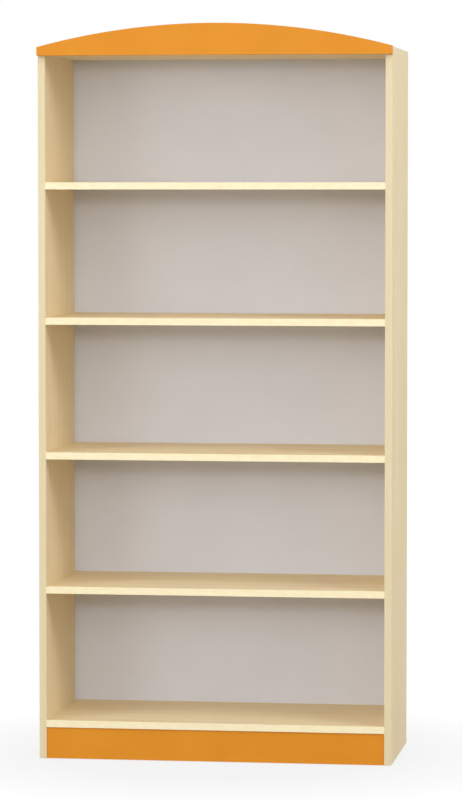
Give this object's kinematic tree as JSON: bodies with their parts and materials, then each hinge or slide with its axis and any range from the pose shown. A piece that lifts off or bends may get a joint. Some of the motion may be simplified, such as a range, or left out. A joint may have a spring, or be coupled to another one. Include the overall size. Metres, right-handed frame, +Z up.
{
  "type": "toy storage shelf",
  "caption": "Tall open-fronted toy shelf of maple-tone laminated board with fixed shelves, a pale back, an arched orange crown board and a recessed orange plinth.",
  "frame": {"origin": "on the floor, under the middle of the overall box", "axes": "+Z up; the open front faces -Y; +X to the right seen from the front"},
  "size_m": [0.9, 0.4216, 1.8677],
  "materials": {
    "maple_laminate": "satin melamine, fine grain",
    "maple_edge": "satin edge band",
    "cream_edge": "satin edge band",
    "orange_laminate": "satin melamine",
    "orange_edge": "satin edge band",
    "hardboard": "light lacquer in front, bare fibre behind",
    "beech": "bare turned wood",
    "zinc": "die-cast zinc",
    "zinc_steel": "zinc-plated steel",
    "cap_plastic": "moulded",
    "glide_plastic": "moulded"
  },
  "bodies": {
    "root": {"back_nails": "zinc_steel", "back_panel": "hardboard", "bottom_panel": "maple_laminate", "bottom_panel_band": "cream_edge", "cam_bolts": "zinc_steel", "cam_caps": "cap_plastic", "cam_discs": "zinc", "crown_band": "orange_edge", "crown_board": "orange_laminate", "crown_bracket_centre": "zinc_steel", "crown_bracket_left": "zinc_steel", "crown_bracket_right": "zinc_steel", "crown_bracket_screws": "zinc_steel", "dowels": "beech", "glide_front_left": "glide_plastic", "glide_front_right": "glide_plastic", "glide_pins": "zinc_steel", "glide_rear_left": "glide_plastic", "glide_rear_right": "glide_plastic", "plinth_board": "orange_laminate", "plinth_bracket_screws": "zinc_steel", "plinth_bracket_side_left": "zinc_steel", "plinth_bracket_side_right": "zinc_steel", "plinth_bracket_under_left": "zinc_steel", "plinth_bracket_under_right": "zinc_steel", "shelf_1": "maple_laminate", "shelf_1_band": "cream_edge", "shelf_2": "maple_laminate", "shelf_2_band": "cream_edge", "shelf_3": "maple_laminate", "shelf_3_band": "cream_edge", "shelf_4": "maple_laminate", "shelf_4_band": "cream_edge", "side_band_left": "maple_edge", "side_band_right": "maple_edge", "side_panel_left": "maple_laminate", "side_panel_right": "maple_laminate", "side_top_band_left": "maple_edge", "side_top_band_right": "maple_edge", "top_panel": "maple_laminate", "top_panel_band": "cream_edge", "wall_bracket_left": "zinc_steel", "wall_bracket_right": "zinc_steel", "wall_bracket_screws": "zinc_steel"}
  },
  "joints": []
}
